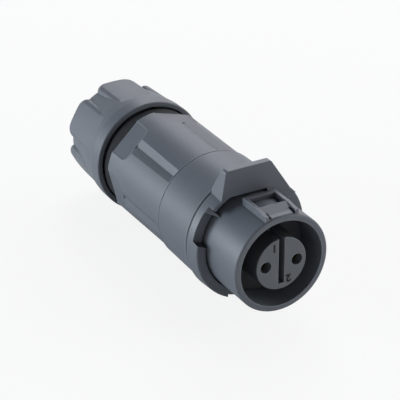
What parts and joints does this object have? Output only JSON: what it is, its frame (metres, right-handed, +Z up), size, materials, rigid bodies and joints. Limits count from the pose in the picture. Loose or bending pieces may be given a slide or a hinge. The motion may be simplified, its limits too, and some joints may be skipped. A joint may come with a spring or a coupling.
{
  "type": "circular cable socket",
  "caption": "Round in-line cable socket with a keyed contact insert, latch block, turning thumb-tab collar, grooved grip housing and a clamping gland nut.",
  "frame": {"origin": "centre of the front shell's mating face, on the connector's axis", "axes": "+Y along the axis from the mating face to the cable, +Z up through the thumb tab, +X to the right seen from the front"},
  "size_m": [0.0304, 0.0833, 0.0348],
  "materials": {
    "shell_plastic": "fine satin moulded dark grey",
    "insert_plastic": "fine matt moulded dark grey",
    "claw_plastic": "black moulded nylon",
    "seal_rubber": "dull black",
    "contact_brass": "turned, bright",
    "screw_steel": "zinc plated"
  },
  "bodies": {
    "socket_body": {"front_shell": "shell_plastic", "interface_seal": "seal_rubber", "contact_insert": "insert_plastic", "insert_o_ring": "seal_rubber", "insert_retainer": "insert_plastic", "socket_contact_left": "contact_brass", "socket_contact_right": "contact_brass", "rear_insulator": "insert_plastic", "carrier_screw": "screw_steel", "terminal_screws": "screw_steel", "body_sleeve": "shell_plastic", "sleeve_o_ring": "seal_rubber", "rear_housing": "shell_plastic", "housing_o_ring": "seal_rubber", "nut_gasket": "seal_rubber", "clamp_claw": "claw_plastic", "cable_seal": "seal_rubber"},
    "collar": {"locking_collar": "shell_plastic"},
    "gland_ring": {"press_ring": "claw_plastic"},
    "gland_nut": {"clamp_nut": "shell_plastic"}
  },
  "joints": [
    {"name": "collar_turn", "type": "hinge", "parent": "socket_body", "child": "collar", "pos_m": [0, 0.0165, 0], "axis": [0, 1, 0], "range_deg": [0, 20]},
    {"name": "nut_advance", "type": "slide", "parent": "socket_body", "child": "gland_ring", "axis": [0, -1, 0], "range_m": [0, 0.004]},
    {"name": "nut_turn", "type": "hinge", "parent": "gland_ring", "child": "gland_nut", "pos_m": [0, 0.07, 0], "axis": [0, -1, 0], "range_deg": [0, 960.5]}
  ],
  "couplings": [
    {"joint": "nut_turn", "follows": "nut_advance", "rad_per_m": 4188.8}
  ]
}
